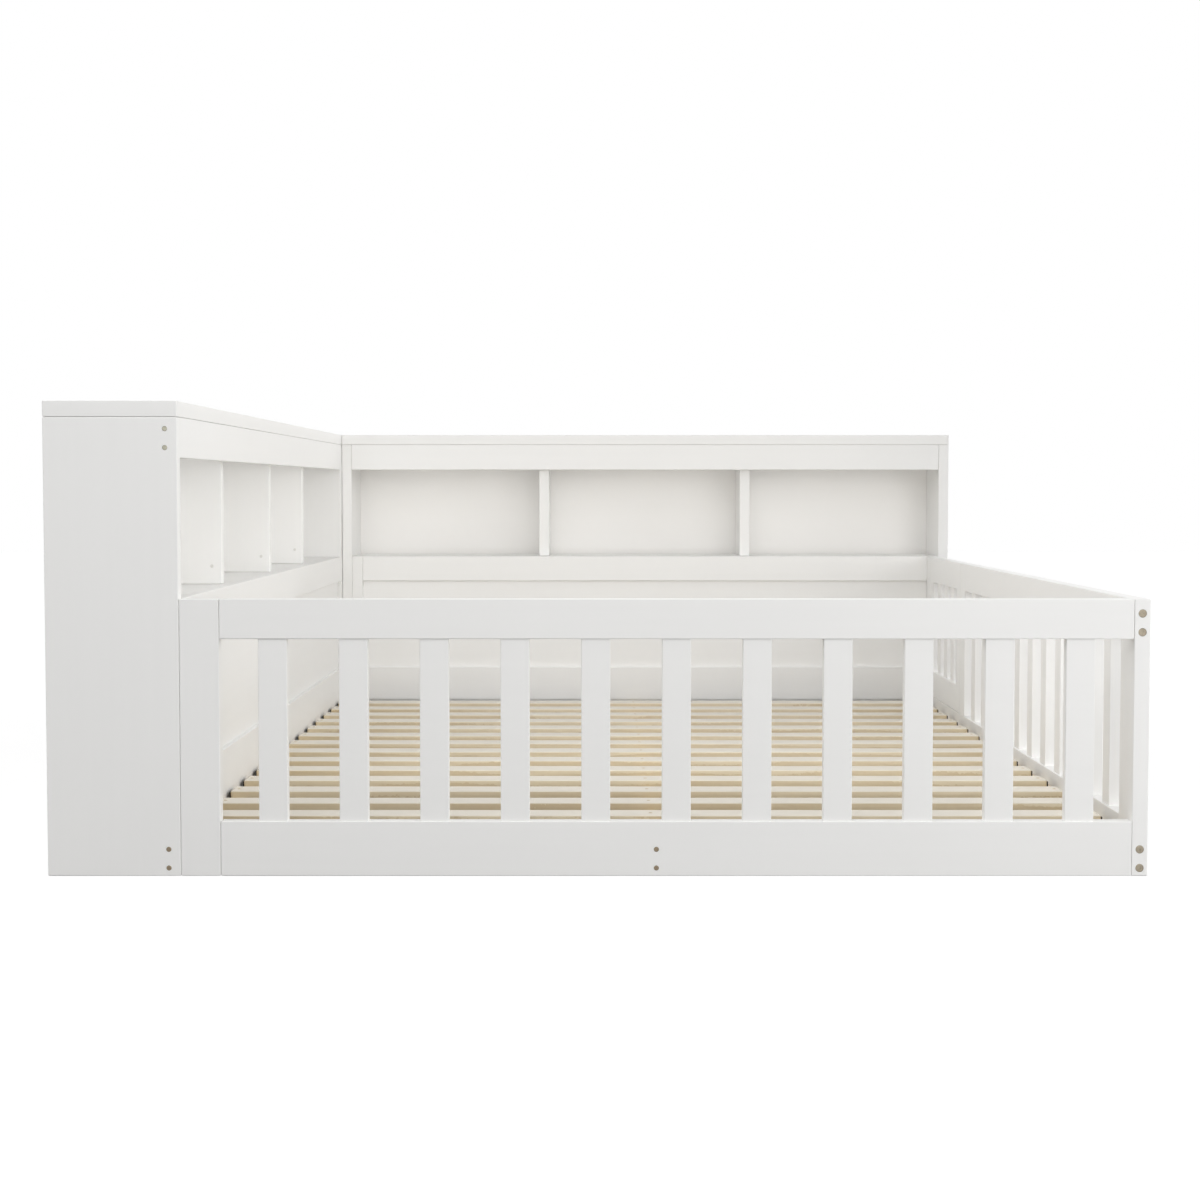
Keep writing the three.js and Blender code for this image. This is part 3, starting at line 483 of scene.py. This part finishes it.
# Hinges: two plated steel butt hinges on the outside of the gate, each held by four countersunk
# screws with a cross recess. The foot and the recess of a screw head are shares of its radius.
HINGE_LEAF_THICKNESS = 0.002
HINGE_SCREW_INSET = 0.012
HINGE_SCREW_EDGE = 0.012575
HINGE_SCREW_RADIUS = 0.0039
HINGE_SCREW_DEPTH = 0.0018
FLAT_HEAD_SINK = 0.0001
FLAT_HEAD_FOOT = 0.53
FLAT_RECESS_WIDTH = 0.26
FLAT_RECESS_REACH = 1.25
FLAT_RECESS_DEPTH = 0.0011


def flat_head(name, radius, depth):
    """A countersunk screw head whose top lies just under the face that it holds."""
    head = start_cylinder(name, HEAD_SIDES, radius, -FLAT_HEAD_SINK, depth)
    edit_faces(head, is_bottom)
    bpy.ops.transform.resize(value=(FLAT_HEAD_FOOT, FLAT_HEAD_FOOT, 1))
    bpy.ops.object.mode_set(mode="OBJECT")
    carve(head, cross_recess(FLAT_RECESS_WIDTH * radius, FLAT_RECESS_REACH * radius, -FLAT_RECESS_DEPTH))
    finish_editing(head)
    head.data.materials.append(nickel)
    return head


hinge_screw = flat_head("hinge screw", HINGE_SCREW_RADIUS, HINGE_SCREW_DEPTH)
for hinge in ("lower_hinge", "upper_hinge"):
    for leaf, body in (("post", "frame"), ("gate", "gate")):
        dress(f"{hinge}_{leaf}_leaf", nickel)
        low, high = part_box(f"{hinge}_{leaf}_leaf")
        y = high.y - HINGE_SCREW_EDGE if leaf == "post" else low.y + HINGE_SCREW_EDGE
        post_low, post_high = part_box(f"{hinge}_post_leaf")
        x = low.x + HINGE_LEAF_THICKNESS
        heights = (post_low.z + HINGE_SCREW_INSET, post_high.z - HINGE_SCREW_INSET)
        for count, z in enumerate(heights, start=1):
            placed(hinge_screw, f"{hinge}_{leaf}_screw_{count}", (x, y, z), "+x", body)
bpy.data.objects.remove(hinge_screw)

# Barrel bolt: a plated steel guide on the gate, a keeper on the middle post and a sliding rod with
# a knob. Eight pan-head screws hold the two plates.
LATCH_PLATE_THICKNESS = 0.0016
LATCH_SCREW_INSET = 0.0045
LATCH_SCREW_RADIUS = 0.003
LATCH_SCREW_HEIGHT = 0.0015
for name in ("latch_guide", "latch_keeper", "latch_bolt"):
    dress(name, nickel)
latch_screw = pan_head("latch screw", LATCH_SCREW_RADIUS, LATCH_SCREW_HEIGHT, nickel)
for plate, body in (("guide", "gate"), ("keeper", "frame")):
    low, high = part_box(f"latch_{plate}")
    corners = [
        (y, z)
        for y in (low.y + LATCH_SCREW_INSET, high.y - LATCH_SCREW_INSET)
        for z in (low.z + LATCH_SCREW_INSET, high.z - LATCH_SCREW_INSET)
    ]
    for count, (y, z) in enumerate(corners, start=1):
        place = (low.x + LATCH_PLATE_THICKNESS, y, z)
        placed(latch_screw, f"latch_{plate}_screw_{count}", place, "+x", body)
bpy.data.objects.remove(latch_screw)

# Slatted base: planed pine slats, lightly varnished, lying across the bed on two ledgers and a
# centre beam of the same pine. The tops of the slats carry a painted highlight, mixed towards a
# pale cream, that stands in for the bright room they reflect. The ledgers and the beam stand in
# separate strips of the bed's width, so that each is cut from its own board.
PINE_EARLY = (0.79, 0.675, 0.475)
PINE_LATE = (0.63, 0.485, 0.28)
# Pale cream of the painted highlight on the slat tops.
PINE_TOP_HIGHLIGHT = (0.92, 0.89, 0.82)
PINE_KNOT = (0.4, 0.24, 0.12)
# How far the painted highlight is mixed into the slat tops.
PINE_TOP_HIGHLIGHT_SHARE = 0.6
PINE_BUMP = 0.3
PINE_BUMP_DEPTH = 0.0002
VARNISH_SPECULAR = 0.6
VARNISH_COAT = 0.4
VARNISH_COAT_ROUGHNESS = 0.25
SLAT_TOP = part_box("slat_01")[1].z
# The band under the top of a slat where its painted highlight fades in.
TOP_HIGHLIGHT_FROM = SLAT_TOP - 0.0016
TOP_HIGHLIGHT_TO = SLAT_TOP - 0.0006
FIRST_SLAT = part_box("slat_01")[0].y
SLAT_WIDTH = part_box("slat_01")[1].y - FIRST_SLAT
SLAT_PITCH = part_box("slat_02")[0].y - FIRST_SLAT
FIRST_GAP_MIDDLE = FIRST_SLAT - 0.5 * (SLAT_PITCH - SLAT_WIDTH)
FIRST_STRIP = -0.9
STRIP_WIDTH = 0.4


def add_mix(tree, factor, first, second):
    """Two colours mixed. They are sockets 6 and 7 of a Mix node, and its output 2."""
    return add_node(tree, "Mix", {"Factor": factor, 6: first, 7: second}, data_type="RGBA").outputs[2]


def pine_group():
    """Pine boards sawn along X: growth rings, fibres and a few small knots, new on each board,
    and a painted highlight on their tops.
    """
    group, given, made = new_group(
        "pine board",
        {"Place": "Vector", "Board": "Float", "Top highlight": "Float"},
        {"Colour": "Color", "Roughness": "Float", "Height": "Float"},
    )
    shift = add_node(group, "TexWhiteNoise", {"W": given["Board"]}, noise_dimensions="1D")
    moved = add_node(group, "VectorMath", {
        0: shift.outputs["Color"], 1: (7.0, 0.09, 0.02), 2: given["Place"],
    }, operation="MULTIPLY_ADD").outputs[0]

    wobble_place = add_node(group, "Mapping", {"Vector": moved, "Scale": (1.3, 9.0, 9.0)})
    wobble = add_node(group, "TexNoise", {"Vector": wobble_place.outputs[0], "Scale": 1.0, "Detail": 2.0})
    bent = add_node(group, "VectorMath", {
        0: wobble.outputs["Color"], 1: (0.0, 0.03, 0.03), 2: moved,
    }, operation="MULTIPLY_ADD")
    rings = add_node(group, "TexWave", {
        "Vector": bent.outputs[0], "Scale": 46.0, "Distortion": 1.2, "Detail": 2.0, "Detail Scale": 3.0,
    }, wave_type="RINGS", rings_direction="X", wave_profile="SAW")
    late = add_node(group, "MapRange", {
        "Value": rings.outputs["Fac"], "From Min": 0.25, "From Max": 1.0, "To Min": 0.0, "To Max": 0.55,
    })

    fibre_place = add_node(group, "Mapping", {"Vector": moved, "Scale": (14.0, 900.0, 900.0)})
    fibre = add_node(group, "TexNoise", {"Vector": fibre_place.outputs[0], "Scale": 1.0, "Detail": 3.0})
    streak = add_node(group, "MapRange", {
        "Value": fibre.outputs["Fac"], "From Min": 0.35, "From Max": 0.75, "To Min": 0.0, "To Max": 0.3,
    })
    brown = add_math(group, "ADD", late.outputs[0], streak.outputs[0], use_clamp=True)
    wood = add_mix(group, brown, (*PINE_EARLY, 1), (*PINE_LATE, 1))

    knot_place = add_node(group, "Mapping", {"Vector": moved, "Scale": (3.2, 7.5, 7.5)})
    knots = add_node(group, "TexVoronoi", {"Vector": knot_place.outputs[0], "Scale": 1.0})
    off_knot = knots.outputs["Distance"]
    eye = add_node(group, "MapRange", {
        "Value": off_knot, "From Min": 0.03, "From Max": 0.07, "To Min": 0.6, "To Max": 0.0,
    })
    knotted = add_mix(group, eye.outputs[0], wood, (*PINE_KNOT, 1))
    # Painted highlight: the top of a slat is mixed towards pale cream.
    top_highlight_share = add_math(group, "MULTIPLY", given["Top highlight"], PINE_TOP_HIGHLIGHT_SHARE)
    coloured = add_mix(group, top_highlight_share, knotted, (*PINE_TOP_HIGHLIGHT, 1))
    group.links.new(coloured, made["Colour"])

    rough = add_node(group, "MapRange", {"Value": brown, "To Min": 0.34, "To Max": 0.44})
    group.links.new(rough.outputs[0], made["Roughness"])
    group.links.new(add_math(group, "MULTIPLY", brown, -1.0), made["Height"])
    return group


PINE = pine_group()


def pine_material(name, along, first, pitch):
    """Varnished pine with its grain along one axis, cut anew at each pitch across the other,
    and a painted highlight along the tops of the slats.
    """
    material, tree, place = new_material(name)
    turned = add_node(tree, "Mapping", {"Vector": place, "Rotation": ALONG[along]})
    parts = add_node(tree, "SeparateXYZ", {0: place}).outputs
    past = add_math(tree, "SUBTRACT", parts["Y" if along == "x" else "X"], first)
    board = add_math(tree, "FLOOR", add_math(tree, "DIVIDE", past, pitch))
    # Where the painted highlight on the slat tops is laid.
    top_highlight = add_node(tree, "MapRange", {
        "Value": parts["Z"], "From Min": TOP_HIGHLIGHT_FROM, "From Max": TOP_HIGHLIGHT_TO, "To Min": 0.0, "To Max": 1.0,
    })
    pine = add_node(tree, "Group", node_tree=PINE)
    tree.links.new(turned.outputs[0], pine.inputs["Place"])
    tree.links.new(board, pine.inputs["Board"])
    tree.links.new(top_highlight.outputs[0], pine.inputs["Top highlight"])
    shader = linked_shader(tree, pine, PINE_BUMP, PINE_BUMP_DEPTH)
    shader.inputs["Specular IOR Level"].default_value = VARNISH_SPECULAR
    shader.inputs["Coat Weight"].default_value = VARNISH_COAT
    shader.inputs["Coat Roughness"].default_value = VARNISH_COAT_ROUGHNESS
    return material


pine_across = pine_material("pine across the bed", "x", FIRST_GAP_MIDDLE, SLAT_PITCH)
pine_along = pine_material("pine along the bed", "y", FIRST_STRIP, STRIP_WIDTH)
slats = [name for name in nodes if name.startswith("slat_")]
for name in slats:
    dress(name, pine_across)
for name in ("left_ledger", "right_ledger", "centre_beam"):
    dress(name, pine_along)

# Slat screws: flat yellow-plated heads with a cross recess, one at each end of a slat and one over
# the centre beam.
YELLOW_PLATE = (0.72, 0.6, 0.4)
SLAT_SCREW_RADIUS = 0.003
SLAT_SCREW_HEIGHT = 0.0004
SLAT_SCREW_SIDES = 12
SLAT_SCREW_INSET = 0.01


def joined_copies(master, places, name):
    """Copies of a small part at several places, joined into one piece on the bed's frame."""
    copies = [copy_of(master, name, place) for place in places]
    select_only(*copies)
    bpy.ops.object.join()
    bpy.ops.object.transform_apply(location=True, rotation=True, scale=True)
    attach(copies[0], "frame")
    bpy.data.objects.remove(master)


yellow_plate = plated("yellow plated steel", YELLOW_PLATE)
slat_screw = pan_head(
    "slat screw", SLAT_SCREW_RADIUS, SLAT_SCREW_HEIGHT, yellow_plate, sides=SLAT_SCREW_SIDES, rounds=1,
)
places = []
for name in slats:
    low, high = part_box(name)
    for x in (low.x + SLAT_SCREW_INSET, (low.x + high.x) / 2, high.x - SLAT_SCREW_INSET):
        places.append((x, (low.y + high.y) / 2, high.z))
joined_copies(slat_screw, places, "slat_screws")

# Slat ends: thin black strips on the ends of the slats, painted shade that stands for the dark
# gaps between the slats and the bookcase and the fence.
GAP_SHADE_BLACK = (0.006, 0.005, 0.004)
GAP_SHADE_MOTTLE = (0.02, 0.017, 0.014)
SHADE_STRIP_THICKNESS = 0.0016
SHADE_STRIP_LENGTH = SLAT_WIDTH - 0.004
SHADE_STRIP_HEIGHT = 0.0125
SHADE_STRIP_EDGE = 0.0005
SHADE_STRIP_LIFT = 0.0005


def gap_shade_material():
    """Dull black for the painted shade in the gaps at the slat ends, with a faint mottle."""
    material, tree, place = new_material("black painted gap shade")
    mottle = add_node(tree, "TexNoise", {"Vector": place, "Scale": 180.0, "Detail": 4.0})
    tone = add_mix(tree, mottle.outputs["Fac"], (*GAP_SHADE_BLACK, 1), (*GAP_SHADE_MOTTLE, 1))
    rough = add_node(tree, "MapRange", {"Value": mottle.outputs["Fac"], "To Min": 0.7, "To Max": 0.85})
    shader = tree.nodes["Principled BSDF"]
    tree.links.new(tone, shader.inputs["Base Color"])
    tree.links.new(rough.outputs[0], shader.inputs["Roughness"])
    return material


# The painted shade strip: a thin black box with eased edges, set at both ends of every slat.
bpy.ops.object.select_all(action="DESELECT")
bpy.ops.mesh.primitive_cube_add(size=1, scale=(SHADE_STRIP_THICKNESS, SHADE_STRIP_LENGTH, SHADE_STRIP_HEIGHT))
shade_strip = bpy.context.object
bpy.ops.object.transform_apply(location=True, rotation=True, scale=True)
edit_faces(shade_strip, lambda face: True)
bpy.ops.mesh.bevel(offset=SHADE_STRIP_EDGE, segments=2, affect="EDGES")
finish_editing(shade_strip)
shade_strip.data.materials.append(gap_shade_material())
places = []
for name in slats:
    low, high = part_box(name)
    for x in (low.x - SHADE_STRIP_THICKNESS / 2, high.x + SHADE_STRIP_THICKNESS / 2):
        places.append((x, (low.y + high.y) / 2, low.z + SHADE_STRIP_HEIGHT / 2 + SHADE_STRIP_LIFT))
joined_copies(shade_strip, places, "slat_end_shade_strips")

# Studio: a pale floor in an even white room, with soft walls of light all round and a low window
# behind on the right. Small soft boxes light the bays of the bookcases from their openings.
FLOOR_REACH = 15
FLOOR_GREY = 0.25
FLOOR_GLOW = 0.8
ROOM_LIGHT = 0.4
bpy.ops.object.select_all(action="DESELECT")
bpy.ops.mesh.primitive_plane_add(size=2 * FLOOR_REACH)
floor = bpy.context.object
floor.name = "floor"
floor_paper = bpy.data.materials.new("floor paper")
floor_paper.use_nodes = True
tree = floor_paper.node_tree
tree.nodes.clear()


def backdrop_rays(tree):
    """1 for the rays that see the backdrop: from the camera, off metal and through glass."""
    rays = add_node(tree, "LightPath").outputs
    seen = add_math(tree, "ADD", rays["Is Camera Ray"], rays["Is Glossy Ray"])
    return add_math(tree, "ADD", seen, rays["Is Transmission Ray"], use_clamp=True)


glow = add_math(tree, "MULTIPLY", backdrop_rays(tree), FLOOR_GLOW)
paper = add_node(tree, "BsdfDiffuse", {"Color": (FLOOR_GREY, FLOOR_GREY, FLOOR_GREY, 1)})
light = add_node(tree, "Emission", {"Strength": glow})
both = add_node(tree, "AddShader", {0: paper.outputs[0], 1: light.outputs[0]})
add_node(tree, "OutputMaterial", {"Surface": both.outputs[0]})
floor.data.materials.append(floor_paper)

world = bpy.data.worlds.new("studio")
bpy.context.scene.world = world
world.use_nodes = True
tree = world.node_tree
tree.nodes.clear()
level = add_math(tree, "MULTIPLY_ADD", backdrop_rays(tree), 1 - ROOM_LIGHT, ROOM_LIGHT)
sky = add_node(tree, "Background", {"Color": (1, 1, 1, 1), "Strength": level})
add_node(tree, "OutputWorld", {"Surface": sky.outputs[0]})


def aimed_lamp(name, kind, place, target, energy):
    """A lamp at a place, turned towards a target."""
    lamp = bpy.data.objects.new(name, bpy.data.lights.new(name, kind))
    lamp.data.energy = energy
    lamp.location = place
    lamp.rotation_euler = (Vector(target) - Vector(place)).to_track_quat("-Z", "Y").to_euler()
    bpy.context.collection.objects.link(lamp)
    return lamp


def wall_of_light(name, place, energy, angle, in_gloss=True):
    """Even light from one side of the studio, as soft as the angle that it spans."""
    lamp = aimed_lamp(name, "SUN", place, (0, 0, 0), energy)
    lamp.data.angle = math.radians(angle)
    lamp.visible_glossy = in_gloss


def soft_box(name, place, target, energy, width, height, spread=180):
    """A rectangular lamp that neither the camera nor the metal sees."""
    lamp = aimed_lamp(name, "AREA", place, target, energy)
    lamp.data.shape = "RECTANGLE"
    lamp.data.size = width
    lamp.data.size_y = height
    lamp.data.spread = math.radians(spread)
    lamp.visible_camera = False
    lamp.visible_glossy = False


wall_of_light("window", (4, 4, 1.74), energy=0.38, angle=8, in_gloss=False)
wall_of_light("front wall", (0.3, -4, 0.25), energy=0.55, angle=30)
wall_of_light("right wall", (4, -0.7, 0.7), energy=1.44, angle=60)
wall_of_light("left wall", (-4, -0.7, 2.8), energy=0.87, angle=60)
wall_of_light("rear wall", (-1.5, 4, 1.6), energy=1.1, angle=60, in_gloss=False)
soft_box("right front box", (1.9, -2.6, 0.7), (0.7, -1, 0.25), energy=13, width=1.2, height=1.2)
soft_box("high left box", (-0.6, -2.9, 2.2), (-0.6, -1, 0.5), energy=12.5, width=1.4, height=1.4)
soft_box("low box", (0.1, -0.98, 0.29), (0.1, 0.95, 0.2), energy=0.65, width=1.2, height=0.12, spread=70)

# Lamps in the bays: one under the top board at the foot side of each bay of the side bookcase, aimed
# along it, and one at the front of each bay of the back bookcase, aimed at its back panel.
SIDE_BAY_LAMPS = {-1.04: 0.083, -0.55: 0.072, -0.03: 0.07, 0.422: 0.057}
BACK_BAY_MIDDLES = (-0.375, 0.096, 0.568)
for y, energy in SIDE_BAY_LAMPS.items():
    place = (-0.695, y, 0.565)
    target = (-0.7, y + 0.45, 0.5)
    soft_box("side bay box", place, target, energy, width=0.1, height=0.12, spread=95)
for x in BACK_BAY_MIDDLES:
    place = (x, 0.91, 0.55)
    target = (x, 1.07, 0.55)
    soft_box("back bay box", place, target, energy=0.041, width=0.42, height=0.1)

bpy.context.scene.view_settings.view_transform = "Standard"
